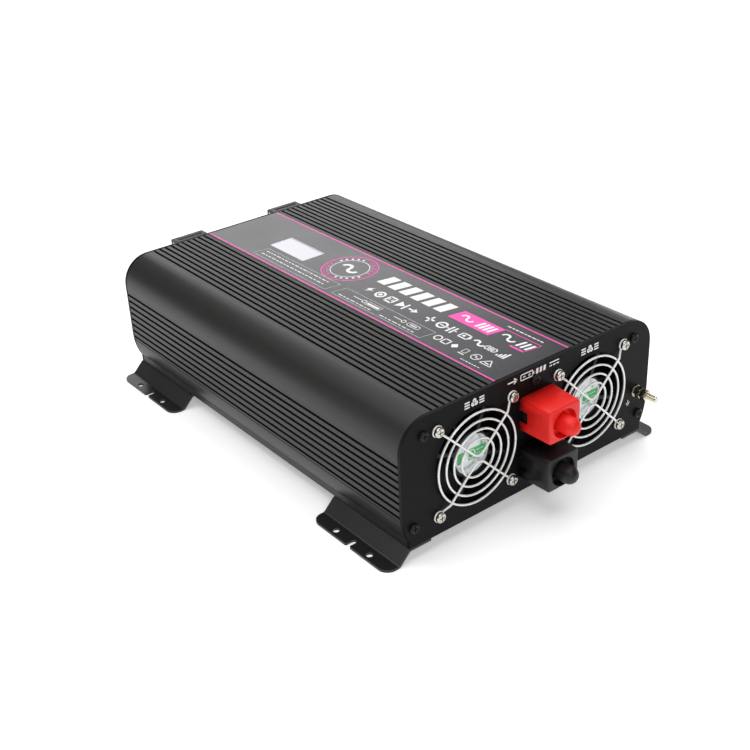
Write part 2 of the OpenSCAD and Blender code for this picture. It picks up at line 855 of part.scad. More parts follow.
// A shallow tray that hangs from a bar on the pin, hollow in the middle for its spring
module outlet_lid() {
  tray_y = rear_y + frame_t + move_gap;
  lid_h = lid_top - lid_low;
  lid_t = hinge_y + bar_half - tray_y;
  bar_l = hinge_w - 2 * (ear_t + move_gap);
  arm_t = 3;
  spring_room = spring_r + spring_wire + 0.3;
  color([0.06, 0.06, 0.07])
  difference() {
    union() {
      difference() {
        translate([0, 0, lid_low + lid_h / 2]) along_y(tray_y, lid_t) round_rect(lid_w, lid_h, 4);
        translate([0, 0, lid_low + lid_h / 2]) along_y(tray_y - eps, lid_t - lid_wall + eps)
          round_rect(lid_w - 2 * lid_wall, lid_h - 2 * lid_wall, 2.5);
      }
      hinge_bar(bar_l);
      translate([-bar_l / 2, hinge_y + bar_half - arm_t, lid_top - lid_wall])
        cube([bar_l, arm_t, hinge_z - lid_top + lid_wall - hinge_round]);
    }
    hinge_hole(pin_r + run_gap);
    translate([-coils, hinge_y, hinge_z]) rotate([0, 90, 0]) cylinder(r = spring_room, h = 2 * coils);
  }
}

module outlet_lid_left() { translate([-outlet_x, 0, 0]) outlet_lid(); }
module outlet_lid_right() { translate([outlet_x, 0, 0]) outlet_lid(); }

module lid_pins() {
  color("silver")
  for (s = [-1, 1]) translate([s * outlet_x - hinge_w / 2, hinge_y, hinge_z]) rotate([0, 90, 0])
    cylinder(r = pin_r, h = hinge_w);
}

// Torsion springs inside the lids' hinge bars
module lid_springs() {
  color("silver")
  for (s = [-1, 1], i = [0:coils - 1])
    translate([s * outlet_x + (i - (coils - 1) / 2) * 2.15 * spring_wire, hinge_y, hinge_z]) rotate([0, 90, 0])
      rotate_extrude() translate([spring_r, 0]) circle(r = spring_wire, $fn = 24);
}

// ---- Switch and small sockets ----

module switch_bezel() {
  color([0.06, 0.06, 0.07])
  translate([0, 0, switch_z]) difference() {
    union() {
      along_y(rear_y, 2) round_rect(22, 16, 1.5);
      along_y(rear_in - 14, 14 + plate_t + eps) square([19, 13], center = true);
    }
    along_y(rear_y - 7, 10) square([16, 11], center = true);
    translate([-11, rear_y - 2, 0]) rotate([0, 90, 0]) cylinder(r = 1, h = 22);
  }
}

// The rocker tips about a pin across the bezel
module switch_rocker() {
  rocker_w = 16 - 2 * move_gap;
  color([0.75, 0.10, 0.08])
  translate([0, rear_y - 2, switch_z]) {
    translate([-rocker_w / 2, 0, 0]) rotate([0, 90, 0]) rotate([0, 0, -rocker_tilt]) difference() {
      translate([-rocker_half, -1.5, 0]) cube([2 * rocker_half, 1.5 + rocker_top, rocker_w]);
      translate([0, rocker_r + rocker_top - 1.2, -eps]) cylinder(r = rocker_r, h = rocker_w + 2 * eps);
    }
    translate([-rocker_w / 2 - 1, 0, 0]) rotate([0, 90, 0]) cylinder(r = 1 - run_gap, h = rocker_w + 2);
  }
}

module usb_housing() {
  color([0.07, 0.07, 0.08])
  translate([0, 0, usb_z]) difference() {
    union() {
      along_y(rear_y, 1.8) round_rect(26, 27, 2);
      along_y(rear_in - 14, 14 + plate_t + eps) square([22, 23], center = true);
    }
    translate([0, 0, 5.5]) along_y(rear_in - 10, 20) square([13.4, 5.9], center = true);
    translate([0, 0, -5.5]) along_y(rear_in - 10, 20) round_rect(9.4, 3.6, 1.7);
  }
}

// Metal shells of the two charging sockets with their tongues
module usb_shells() {
  color("silver") {
    translate([0, 0, usb_z + 5.5]) {
      along_y(rear_in - 10, 14) difference() {
        square([13.2, 5.7], center = true);
        square([12.4, 4.9], center = true);
      }
      along_y(rear_in - 10, 1) square([13.2, 5.7], center = true);
      along_y(rear_in - 9.5, 12) translate([-5, 0.2]) square([10, 1.6]);
    }
    translate([0, 0, usb_z - 5.5]) {
      along_y(rear_in - 10, 14) difference() {
        round_rect(9.2, 3.4, 1.65);
        round_rect(8.6, 2.8, 1.35);
      }
      along_y(rear_in - 10, 1) round_rect(9.2, 3.4, 1.65);
      along_y(rear_in - 9.5, 12) square([6.6, 0.7], center = true);
    }
  }
}

module remote_socket() {
  color([0.07, 0.07, 0.08])
  translate([0, 0, remote_z]) difference() {
    union() {
      along_y(rear_y, 1.5) round_rect(18, 16, 1);
      along_y(rear_in - 13, 13 + plate_t + eps) square([15, 13], center = true);
    }
    along_y(rear_y - 12, 20) translate([-5, -3.8]) square([10, 7]);
    along_y(rear_y - 12, 20) translate([-2, -5.4]) square([4, 2]);
  }
}

// ---- Electronics ----

module main_board() {
  color([0.06, 0.30, 0.14])
  difference() {
    translate([-board_w / 2, board_front, board_z]) cube([board_w, board_rear - board_front, board_t]);
    for (s = [-1, 1], y = board_screw_ys)
      translate([s * board_screw_x, y, board_z - eps]) cylinder(r = 1.7, h = board_t + 2 * eps);
  }
}

module board_standoffs() {
  color([0.8, 0.68, 0.35])
  for (s = [-1, 1], y = board_screw_ys) translate([s * board_screw_x, y, base_z + base_t]) difference() {
    cylinder(r = post_r, h = board_z - base_z - base_t);
    translate([0, 0, 2]) cylinder(r = 1.5, h = board_z);
  }
}

module board_screws() {
  color("silver")
  for (s = [-1, 1], y = board_screw_ys) translate([s * board_screw_x, y, board_top])
    pan_screw(2.9, 1.9, 1.5, 6);
}

// Stands on edge along the middle of the main board
module control_board() {
  color([0.06, 0.30, 0.14]) {
    translate([0, control_y, board_top]) {
      translate([-0.8, 10, 0]) cube([1.6, 110, 50]);
      for (i = [0:3]) translate([0.7, 22 + i * 24, 14]) cube([3, 12, 12]);
      translate([-5, 16, 0]) cube([4.3, 98, 6]);
    }
  }
}

trans_y = [-60, -5];
trans_x = 42;
core_w = 50;
core_d = 22;
core_h = 44;

module transformer_cores() {
  leg = core_w * 0.17;
  color([0.22, 0.22, 0.23])
  for (s = [-1, 1], y = trans_y)
    translate([s * trans_x - core_w / 2, y - core_d / 2, board_top + 3]) difference() {
      cube([core_w, core_d, core_h]);
      for (k = [0, 1])
        translate([leg + k * (core_w - 2 * leg + leg) / 2, -eps, leg])
          cube([(core_w - 3 * leg) / 2, core_d + 2 * eps, core_h - 2 * leg]);
    }
}

// Winding on the middle leg of each core, with its bobbin pins
module transformer_windings() {
  leg = core_w * 0.17;
  gap = 0.4;
  inner_w = leg + 2 * gap;
  outer_w = core_w - 2 * leg - 2 * gap;
  color([0.85, 0.72, 0.25])
  for (s = [-1, 1], y = trans_y)
    translate([s * trans_x, y, board_top + 3 + leg + gap]) difference() {
      linear_extrude(core_h - 2 * leg - 2 * gap) round_rect(outer_w, core_d + 14, 6);
      translate([0, 0, -eps]) linear_extrude(core_h) square([inner_w, core_d + 2 * gap], center = true);
    }
}

cap_r = 8;
module input_capacitors() {
  color([0.10, 0.12, 0.30])
  for (i = [-4:3], row = [0, 1])
    translate([(i + 0.5) * 2.15 * cap_r, board_front + 14 + cap_r + row * 2.2 * cap_r, board_top])
      cylinder(r = cap_r, h = 30);
}

module bus_capacitors() {
  color([0.10, 0.12, 0.30])
  for (s = [-1, 1], k = [0, 1]) translate([s * 30, board_rear - bus_in + k * 38, board_top])
    cylinder(r = 16, h = 46);
}

module heat_bars() {
  color("silver")
  for (s = [-1, 1]) translate([s * heat_x - heat_t / 2, heat_y0, board_top]) {
    cube([heat_t, heat_l, heat_h]);
    translate([s > 0 ? heat_t - 0.1 : -9.9, 0, heat_h - 4]) cube([10, heat_l, 4]);
  }
}

// Packages screwed flat against the inner face of each bar, with their legs in the board
module power_transistors() {
  count = 12;
  step = (heat_l - 20) / count;
  color([0.10, 0.10, 0.10])
  for (s = [-1, 1], i = [0:count - 1])
    translate([s * (heat_x - heat_t / 2), heat_y0 + 10 + (i + 0.5) * step, board_top]) {
      translate([s > 0 ? -4.6 : 0, -5, 14]) cube([4.6, 10, 15]);
      translate([s > 0 ? -1.4 : 0, -5, 28.9]) cube([1.4, 10, 6]);
      for (k = [-1:1]) translate([s > 0 ? -3 : 2, k * 2.54 - 0.4, 0]) cube([1, 0.8, 14.1]);
    }
}

module output_choke() {
  color([0.72, 0.35, 0.15])
  translate([-38, board_rear - choke_in, board_top + 9]) {
    rotate_extrude() translate([16, 0]) circle(r = 8);
    for (k = [-1, 1]) translate([k * 16, 0, -9]) cylinder(r = 1, h = 4);
  }
}

module blade_fuses() {
  color([0.15, 0.45, 0.75])
  for (s = [-1, 1], i = [0:2]) translate([s * (34 + i * 14), board_front + 5.5, board_top]) {
    translate([-5, -2.4, 0]) cube([10, 4.8, 10]);
    translate([-3, -1, 9.9]) cube([6, 2, 3]);
  }
}

// Copper straps: from each battery stud back over the board's edge and down to it
module busbars() {
  back = front_in + 4;
  color([0.80, 0.45, 0.25])
  for (i = [0, 1]) {
    low = term_holes[i] - 12;
    foot_y0 = board_front + 3 + i * 7;
    translate([term_x - bar_w / 2, 0, 0]) {
      difference() {
        translate([0, back, low]) cube([bar_w, bar_t, 20]);
        translate([bar_w / 2, back - eps, term_holes[i]]) rotate([-90, 0, 0])
          cylinder(r = stud_r, h = bar_t + 2 * eps);
      }
      translate([0, back, low]) cube([bar_w, foot_y0 + bar_t - back, bar_t]);
      translate([0, foot_y0, board_top]) cube([bar_w, bar_t, low + bar_t - board_top]);
    }
  }
}

// Leads from the fan motors, back and down to the board
module fan_leads() {
  lead_r = 1;
  color([0.7, 0.1, 0.1])
  for (s = fan_signs) {
    lead_x = s * (fan_x - fan_size / 2 - 3);
    turn = [lead_x, board_front + 6, board_top + 30];
    wire([lead_x, front_in + fan_depth - 2, fan_z], turn, lead_r);
    translate(turn) sphere(r = lead_r + bead, $fn = 32);
    wire(turn, [lead_x, board_front + 6, board_top], lead_r);
  }
}

body_extrusion();
base_plate();
base_screws();
front_plate();
rear_plate();
front_plate_screws();
rear_plate_screws();
foot_front_left();
foot_front_right();
foot_rear_left();
foot_rear_right();
foot_screws();
top_film();
display_window();
display_module();
fan_frame_left();
fan_frame_right();
fan_rotor_left();
fan_rotor_right();
fan_stators();
fan_stickers();
fan_guard_left();
fan_guard_right();
fan_screws();
fan_nuts();
terminal_insulators();
terminal_studs();
terminal_washers();
terminal_nuts();
positive_cover();
negative_cover();
earth_stud();
earth_washers();
earth_nuts();
outlet_left();
outlet_right();
outlet_lid_left();
outlet_lid_right();
lid_pins();
lid_springs();
switch_bezel();
switch_rocker();
usb_housing();
usb_shells();
remote_socket();
main_board();
board_standoffs();
board_screws();
control_board();
transformer_cores();
transformer_windings();
input_capacitors();
bus_capacitors();
heat_bars();
power_transistors();
output_choke();
blade_fuses();
busbars();
fan_leads();
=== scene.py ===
import math

import bmesh
import bpy
from mathutils import Euler, Matrix, Vector


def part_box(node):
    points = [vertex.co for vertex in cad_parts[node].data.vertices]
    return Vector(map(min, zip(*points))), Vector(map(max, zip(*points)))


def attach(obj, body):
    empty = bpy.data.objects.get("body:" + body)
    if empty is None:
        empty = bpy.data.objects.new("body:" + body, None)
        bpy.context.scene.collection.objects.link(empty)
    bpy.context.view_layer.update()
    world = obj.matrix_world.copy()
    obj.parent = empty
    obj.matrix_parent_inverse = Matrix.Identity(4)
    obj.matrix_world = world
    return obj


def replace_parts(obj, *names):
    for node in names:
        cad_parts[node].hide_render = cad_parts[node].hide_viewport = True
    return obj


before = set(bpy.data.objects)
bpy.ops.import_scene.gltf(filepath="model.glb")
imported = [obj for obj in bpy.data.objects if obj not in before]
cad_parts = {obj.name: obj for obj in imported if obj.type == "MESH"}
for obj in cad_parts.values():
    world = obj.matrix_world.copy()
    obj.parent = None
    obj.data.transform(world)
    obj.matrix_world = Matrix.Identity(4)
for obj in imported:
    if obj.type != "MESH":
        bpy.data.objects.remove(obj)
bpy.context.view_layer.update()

# Camera: a long lens above the front left corner of the part, looking down on its
# top and along its side.
eye = bpy.data.cameras.new("studio_camera")
eye.lens = 57.85
eye.shift_x, eye.shift_y = -0.0014, -0.0062
eye.clip_end = 20
camera = bpy.data.objects.new("studio_camera", eye)
camera.location = (-0.55404, -0.73429, 0.53530)
camera.rotation_euler = Euler([math.radians(a) for a in (61.345, 2.403, -38.509)])
bpy.context.scene.collection.objects.link(camera)
bpy.context.scene.camera = camera

# Studio: a pale matt floor in a dim white room, a broad lamp overhead that keeps the
# floor white, a large one behind the part for its sheen, a low one on the right for the
# far edge, and weak ones in front and on the left.
room = bpy.data.worlds.new("white_room")
room.use_nodes = True
room.node_tree.nodes["Background"].inputs["Color"].default_value = (1.0, 1.0, 1.0, 1)
room.node_tree.nodes["Background"].inputs["Strength"].default_value = 0.22
bpy.context.scene.world = room
bpy.context.scene.view_settings.view_transform = "Standard"


def soft_lamp(name, place, aim, wide, tall, power):
    lamp = bpy.data.lights.new(name, "AREA")
    lamp.shape = "RECTANGLE"
    lamp.size, lamp.size_y, lamp.energy = wide, tall, power
    holder = bpy.data.objects.new(name, lamp)
    holder.location = place
    holder.rotation_euler = (Vector(aim) - Vector(place)).to_track_quat("-Z", "Y").to_euler()
    bpy.context.scene.collection.objects.link(holder)


soft_lamp("overhead", (0.0, 0.4, 2.4), (0, 0.4, 0), 3.0, 3.0, 60)
soft_lamp("behind", (1.3, 2.2, 1.0), (0, 0.1, 0.1), 1.6, 0.9, 10)
soft_lamp("right_low", (2.2, 1.0, 0.35), (0.1, 0.1, 0.08), 0.5, 2.4, 9)
soft_lamp("front_fill", (-0.7, -1.7, 1.3), (0, -0.1, 0.05), 0.7, 0.7, 7)
soft_lamp("left_strip", (-1.6, 0.7, 0.5), (0, 0, 0.05), 0.5, 1.6, 5)

ground = bmesh.new()
bmesh.ops.create_grid(ground, x_segments=1, y_segments=1, size=6)
floor_mesh = bpy.data.meshes.new("floor")
ground.to_mesh(floor_mesh)
ground.free()
floor = bpy.data.objects.new("floor", floor_mesh)
bpy.context.scene.collection.objects.link(floor)
paper = bpy.data.materials.new("white_paper")
paper.use_nodes = True
paper_shader = paper.node_tree.nodes["Principled BSDF"]
paper_shader.inputs["Base Color"].default_value = (0.93, 0.93, 0.93, 1)
paper_shader.inputs["Roughness"].default_value = 0.9
paper_shader.inputs["Specular IOR Level"].default_value = 0.1
paper_shader.inputs["Emission Color"].default_value = (1, 1, 1, 1)
paper_shader.inputs["Emission Strength"].default_value = 0.35
floor_mesh.materials.append(paper)

# Casing: one long aluminium extrusion, brushed and anodised black. The die leaves
# faint lines along its length, and the corners rub back a little towards grey.


def node_group(name, takes, gives):
    """An empty shader group with its inputs and outputs."""
    made = bpy.data.node_groups.new(name, "ShaderNodeTree")
    for socket, kind, value in takes:
        made.interface.new_socket(socket, in_out="INPUT", socket_type=kind).default_value = value
    for socket, kind in gives:
        made.interface.new_socket(socket, in_out="OUTPUT", socket_type=kind)
    return made, made.nodes.new("NodeGroupInput"), made.nodes.new("NodeGroupOutput")


def math_step(tree, what, a, b=None, clamp=False):
    step = tree.nodes.new("ShaderNodeMath")
    step.operation, step.use_clamp = what, clamp
    for slot, value in enumerate((a, b)):
        if isinstance(value, bpy.types.NodeSocket):
            tree.links.new(value, step.inputs[slot])
        elif value is not None:
            step.inputs[slot].default_value = value
    return step.outputs[0]


# Rubbed edges: the normal rolled round a small edge radius, and where the edge has rubbed
edges, edge_in, edge_out = node_group(
    "rubbed_edges",
    [("Radius", "NodeSocketFloat", 0.0004), ("Patch Scale", "NodeSocketFloat", 60.0)],
    [("Normal", "NodeSocketVector"), ("Wear", "NodeSocketFloat")],
)
rolled = edges.nodes.new("ShaderNodeBevel")
rolled.samples = 6
edges.links.new(edge_in.outputs["Radius"], rolled.inputs["Radius"])
facing = edges.nodes.new("ShaderNodeNewGeometry")
turned = edges.nodes.new("ShaderNodeVectorMath")
turned.operation = "DOT_PRODUCT"
edges.links.new(rolled.outputs["Normal"], turned.inputs[0])
edges.links.new(facing.outputs["Normal"], turned.inputs[1])
spots = edges.nodes.new("ShaderNodeTexNoise")
spots.inputs["Detail"].default_value = 3
edge_place = edges.nodes.new("ShaderNodeTexCoord")
edges.links.new(edge_place.outputs["Object"], spots.inputs["Vector"])
edges.links.new(edge_in.outputs["Patch Scale"], spots.inputs["Scale"])
bare = math_step(edges, "MULTIPLY", math_step(edges, "SUBTRACT", 1.0, turned.outputs["Value"]), 3.0, True)
above = math_step(edges, "SUBTRACT", spots.outputs["Fac"], 0.42, True)
patchy = math_step(edges, "MULTIPLY", above, 6.0, True)
edges.links.new(math_step(edges, "MULTIPLY", bare, patchy, True), edge_out.inputs["Wear"])
edges.links.new(rolled.outputs["Normal"], edge_out.inputs["Normal"])

# Fine grain: a coarse cloud of tone over a fine grit, stretched along one direction if wanted
grain, grain_in, grain_out = node_group(
    "fine_grain",
    [
        ("Stretch", "NodeSocketVector", (1, 1, 1)),
        ("Grit Scale", "NodeSocketFloat", 1500.0),
        ("Cloud Scale", "NodeSocketFloat", 14.0),
    ],
    [("Tone", "NodeSocketFloat"), ("Grit", "NodeSocketFloat")],
)
grain_place = grain.nodes.new("ShaderNodeTexCoord")
pulled = grain.nodes.new("ShaderNodeVectorMath")
pulled.operation = "MULTIPLY"
grain.links.new(grain_place.outputs["Object"], pulled.inputs[0])
grain.links.new(grain_in.outputs["Stretch"], pulled.inputs[1])
grit = grain.nodes.new("ShaderNodeTexNoise")
grit.inputs["Detail"].default_value = 2
cloud = grain.nodes.new("ShaderNodeTexNoise")
cloud.inputs["Detail"].default_value = 4
for texture, scale in ((grit, "Grit Scale"), (cloud, "Cloud Scale")):
    grain.links.new(pulled.outputs["Vector"], texture.inputs["Vector"])
    grain.links.new(grain_in.outputs[scale], texture.inputs["Scale"])
grain.links.new(cloud.outputs["Fac"], grain_out.inputs["Tone"])
grain.links.new(grit.outputs["Fac"], grain_out.inputs["Grit"])


def finish(name, dark, light, rough, metal=0.0, grit=0.05, grit_scale=1500, cloud_scale=14,
           stretch=(1, 1, 1), worn=None, wear=0.3, edge=0.0004, depth=0.00002, coat=0.0,
           coat_rough=0.1, specular=0.5):
    """A surface between two tones, with roughness between two values, grit in its
    gloss and height, and rubbed edges."""
    made = bpy.data.materials.new(name)
    made.use_nodes = True
    tree = made.node_tree
    shader = tree.nodes["Principled BSDF"]
    shader.inputs["Metallic"].default_value = metal
    shader.inputs["Coat Weight"].default_value = coat
    shader.inputs["Coat Roughness"].default_value = coat_rough
    shader.inputs["Specular IOR Level"].default_value = specular
    texture = tree.nodes.new("ShaderNodeGroup")
    texture.node_tree = grain
    texture.inputs["Stretch"].default_value = stretch
    texture.inputs["Grit Scale"].default_value = grit_scale
    texture.inputs["Cloud Scale"].default_value = cloud_scale
    rim = tree.nodes.new("ShaderNodeGroup")
    rim.node_tree = edges
    rim.inputs["Radius"].default_value = edge
    tone = tree.nodes.new("ShaderNodeMix")
    tone.data_type = "RGBA"
    tone.inputs["A"].default_value = (*dark, 1)
    tone.inputs["B"].default_value = (*light, 1)
    mixed = math_step(tree, "ADD", math_step(tree, "MULTIPLY", texture.outputs["Tone"], 0.7),
                      math_step(tree, "MULTIPLY", texture.outputs["Grit"], 0.3), True)
    tree.links.new(mixed, tone.inputs["Factor"])
    rubbed = tree.nodes.new("ShaderNodeMix")
    rubbed.data_type = "RGBA"
    rubbed.inputs["B"].default_value = (*(worn or light), 1)
    tree.links.new(tone.outputs["Result"], rubbed.inputs["A"])
    tree.links.new(math_step(tree, "MULTIPLY", rim.outputs["Wear"], wear, True), rubbed.inputs["Factor"])
    tree.links.new(rubbed.outputs["Result"], shader.inputs["Base Color"])
    gloss = tree.nodes.new("ShaderNodeMapRange")
    gloss.inputs["From Min"].default_value = 0.3
    gloss.inputs["From Max"].default_value = 0.7
    gloss.inputs["To Min"].default_value, gloss.inputs["To Max"].default_value = rough
    tree.links.new(texture.outputs["Tone"], gloss.inputs["Value"])
    gritty = math_step(tree, "MULTIPLY", math_step(tree, "SUBTRACT", texture.outputs["Grit"], 0.5), grit)
    tree.links.new(math_step(tree, "ADD", gloss.outputs["Result"], gritty, True), shader.inputs["Roughness"])
    bump = tree.nodes.new("ShaderNodeBump")
    bump.inputs["Distance"].default_value = depth
    bump.inputs["Strength"].default_value = 0.6
    tree.links.new(texture.outputs["Grit"], bump.inputs["Height"])
    tree.links.new(rim.outputs["Normal"], bump.inputs["Normal"])
    tree.links.new(bump.outputs["Normal"], shader.inputs["Normal"])
    return made


def dress(material, *names):
    """Gives CAD pieces their finish."""
    for name in names:
        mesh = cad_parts[name].data
        mesh.materials.clear()
        mesh.materials.append(material)


anodised = finish("black_anodised", (0.0115, 0.0108, 0.0104), (0.021, 0.0195, 0.0185), (0.36, 0.46),
                  metal=0.25, grit=0.10, grit_scale=900, stretch=(1, 0.06, 1),
                  worn=(0.10, 0.095, 0.09), wear=0.35)


def between(tree, value, low, high):
    """A mask that is 1 where a value lies between two limits."""
    return math_step(tree, "MULTIPLY", math_step(tree, "GREATER_THAN", value, low),
                     math_step(tree, "LESS_THAN", value, high))


# The grooves are darker and duller than the ridges. This is painted shade for the shade inside them, as much
# as it is their coating.
tree = anodised.node_tree
spot = tree.nodes.new("ShaderNodeSeparateXYZ")
tree.links.new(tree.nodes.new("ShaderNodeTexCoord").outputs["Object"], spot.inputs[0])
across = math_step(tree, "ABSOLUTE", spot.outputs["X"])
casing_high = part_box("body_extrusion")[1]
groove_foot, ridge_skin = 0.0018, 0.0002
in_top = math_step(
    tree, "MULTIPLY",
    between(tree, spot.outputs["Z"], casing_high[2] - groove_foot, casing_high[2] - ridge_skin),
    between(tree, across, 0.040, 0.100),
)
in_side = math_step(
    tree, "MULTIPLY",
    between(tree, across, casing_high[0] - groove_foot, casing_high[0] - ridge_skin),
    between(tree, spot.outputs["Z"], 0.036, 0.086),
)
groove_shade_mask = math_step(tree, "MAXIMUM", in_top, in_side)
shader = tree.nodes["Principled BSDF"]
# Near-black colour in the grooves is painted shade; the high roughness makes them duller.
for socket, deep in (("Base Color", (0.002, 0.002, 0.002, 1)), ("Roughness", 0.9)):
    before = shader.inputs[socket].links[0].from_socket
    mix = tree.nodes.new("ShaderNodeMix")
    mix.data_type = "RGBA" if socket == "Base Color" else "FLOAT"
    sockets = [i for i in mix.inputs if i.enabled]
    tree.links.new(groove_shade_mask, sockets[0])
    tree.links.new(before, sockets[1])
    sockets[2].default_value = deep
    tree.links.new([o for o in mix.outputs if o.enabled][0], shader.inputs[socket])
dress(anodised, "body_extrusion", "base_plate")

# Flat end plates: punched sheet, painted matt black, held by black cross-head screws.
matt_paint = finish("matt_black_paint", (0.003, 0.003, 0.0034), (0.006, 0.006, 0.0064), (0.42, 0.55),
                    grit=0.12, grit_scale=2200, depth=0.00003, worn=(0.04, 0.04, 0.04), specular=0.10)
dress(matt_paint, "front_plate", "rear_plate")
blackened = finish("blackened_screw", (0.008, 0.008, 0.008), (0.018, 0.018, 0.018), (0.25, 0.40),
                   metal=0.4, worn=(0.12, 0.12, 0.12), wear=0.5, edge=0.0002, specular=0.3)
dress(blackened, "front_plate_screws", "rear_plate_screws", "base_screws")

# Feet: bent steel sheet with a powder coat.
powder = finish("powder_coat", (0.009, 0.009, 0.009), (0.016, 0.0155, 0.0155), (0.28, 0.40),
                grit=0.15, grit_scale=1200, depth=0.00004, worn=(0.08, 0.08, 0.08), specular=0.5)
dress(powder, *(f"foot_{end}_{side}" for end in ("front", "rear") for side in ("left", "right")))

# Foot screws: pan heads under the sheet, nickel-plated steel.
nickel = finish("nickel_plate", (0.52, 0.50, 0.45), (0.68, 0.66, 0.60), (0.14, 0.26), metal=1.0,
                cloud_scale=60, edge=0.0002, worn=(0.4, 0.36, 0.28))
dress(nickel, "foot_screws")

# Top film: a printed polycarbonate label let in between the grooves. The print is thin
# screen ink: two pink rules, a wave badge, a row of power blocks and plain line symbols.
label = finish("label_film", (0.019, 0.0175, 0.023), (0.026, 0.024, 0.031), (0.24, 0.32),
               grit=0.06, grit_scale=3000, depth=0.00001, worn=(0.1, 0.1, 0.1), wear=0.1)
dress(label, "top_film")
MM = 0.001


def bar(ink, start, stop, wide):
    """A straight printed stroke, square at both ends."""
    start, stop = Vector((*start, 0)), Vector((*stop, 0))
    side = (stop - start).cross(Vector((0, 0, 1))).normalized() * wide / 2
    ink.faces.new([ink.verts.new(p) for p in (start + side, stop + side, stop - side, start - side)])


def block(ink, low, high, lean=0.0):
    """A filled block between two corners, with its top pushed along."""
    corners = (low, (high[0], low[1]), (high[0] + lean, high[1]), (low[0] + lean, high[1]))
    ink.faces.new([ink.verts.new((*p, 0)) for p in corners])


def outline(ink, low, high, wide, lean=0.0):
    """The four strokes of a printed box."""
    corners = (low, (high[0], low[1]), (high[0] + lean, high[1]), (low[0] + lean, high[1]))
    for k in range(4):
        bar(ink, corners[k - 1], corners[k], wide)


def arc(ink, centre, radius, wide, start=0, sweep=360, parts=40):
    """A printed stroke round a circle or a part of one."""
    first = Matrix.Rotation(math.radians(start), 3, "Z") @ Vector((1, 0, 0))
    ends = [ink.verts.new(Vector((*centre, 0)) + first * (radius + s * wide / 2)) for s in (-1, 1)]
    edge = ink.edges.new(ends)
    bmesh.ops.spin(ink, geom=[*ends, edge], cent=(*centre, 0), axis=(0, 0, 1),
                   angle=math.radians(sweep), steps=parts, use_merge=sweep == 360)


def wave(ink, centre, long, wide):
    """One full swing of a sine wave."""
    swing = long / 4
    arc(ink, (centre[0] - swing, centre[1]), swing, wide, 0, 180, 16)
    arc(ink, (centre[0] + swing, centre[1]), swing, wide, 180, 180, 16)


def dashes(ink, start, stop, height, wide, lengths=(5.2, 2.6, 3.8, 6.0, 3.2), gap=1.4):
    """A row of short strokes, as a line of small print looks from afar."""
    along, k = start, 0
    while along + lengths[k % len(lengths)] < stop:
        bar(ink, (along, height), (along + lengths[k % len(lengths)], height), wide)
        along += lengths[k % len(lengths)] + gap
        k += 1


def make_piece(name, shape, material, body, smooth=35):
    """Turns a shape drawn in metres into a piece that moves with a body."""
    mesh = bpy.data.meshes.new(name)
    shape.to_mesh(mesh)
    shape.free()
    mesh.materials.append(material)
    mesh.shade_smooth()
    mesh.set_sharp_from_angle(angle=math.radians(smooth))
    piece = bpy.data.objects.new(name, mesh)
    bpy.context.scene.collection.objects.link(piece)
    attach(piece, body)
    return piece


def lay_ink(name, ink, place, material, thick=0.05, sunk=0.02):
    """Gives a drawing in millimetres its ink thickness and lays it on a surface."""
    bmesh.ops.remove_doubles(ink, verts=ink.verts, dist=0.0005)
    bmesh.ops.recalc_face_normals(ink, faces=ink.faces)
    bmesh.ops.solidify(ink, geom=ink.faces[:], thickness=thick)
    bmesh.ops.recalc_face_normals(ink, faces=ink.faces)
    low = min(v.co.z for v in ink.verts)
    bmesh.ops.translate(ink, verts=ink.verts, vec=(0, 0, -low - sunk))
    bmesh.ops.transform(ink, matrix=place @ Matrix.Scale(MM, 4), verts=ink.verts)
    return make_piece(name, ink, material, "housing")


white_ink = finish("white_ink", (0.90, 0.90, 0.91), (0.96, 0.96, 0.97), (0.38, 0.5), wear=0.0,
                   grit=0.04, depth=0.000005, specular=0.3)
pink_ink = finish("pink_ink", (0.90, 0.075, 0.42), (0.97, 0.11, 0.50), (0.38, 0.5), wear=0.0,
                  grit=0.04, depth=0.000005, specular=0.3)
film_top = Matrix.Translation((0, 0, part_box("top_film")[1][2])) @ Matrix.Rotation(math.radians(-90), 4, "Z")

pink = bmesh.new()
film_end, rule_at = 191.8, 37.4
for side in (-1, 1):
    bar(pink, (-film_end, side * rule_at), (film_end, side * rule_at), 1.5)
badge = (-36.2, 7.8)


def tick(ink, step, wide):
    """One short spoke between the rings of the badge."""
    spoke = Matrix.Rotation(math.radians(step * 15), 2) @ Vector((1, 0))
    bar(ink, Vector(badge) + spoke * 18.8, Vector(badge) + spoke * 21.2, wide)


arc(pink, badge, 24.9, 1.1, parts=64)
arc(pink, badge, 22.6, 0.5, parts=64)
for step in range(24):
    if step % 12 in (1, 2, 3, 4, 5):
        tick(pink, step, 2.2)
block(pink, (90.5, 7.5), (136.5, 24.0), lean=3.2)
bar(pink, (139.5, 24.6), (177.5, 24.6), 0.8)
bar(pink, (177.2, 25.0), (174.2, 7.6), 0.8)
block(pink, (160.0, 7.2), (175.0, 9.4))

white = bmesh.new()
arc(white, badge, 17.2, 0.8, parts=56)
for step in range(24):
    if step % 12 > 6:
        tick(white, step, 2.0)
wave(white, badge, 19, 3.2)
for step in range(6):
    block(white, (14.3 * step + 0.4, 8.0), (14.3 * step + 10.4, 24.5), lean=3.3)
wave(white, (105.2, 15.8), 13, 1.9)
for step in range(4):
    block(white, (117.5 + 4.4 * step, 10.8), (120.2 + 4.4 * step, 20.8), lean=1.9)
wave(white, (151.0, 16.0), 14, 2.0)
for step in range(3):
    block(white, (162.0 + 4.6 * step, 11.2), (164.4 + 4.6 * step, 21.2), lean=1.9)

# Line symbols in a row: bolt, lamp, socket, rectifier and arrow, then plus, ring with a
# bar, capacitor, cell, wave, coil and level bars
low, high, mid, pen = -11.0, -0.8, -5.9, 1.9


def solid(ink, corners):
    """A filled shape through a few corners."""
    ink.faces.new([ink.verts.new((*p, 0)) for p in corners])


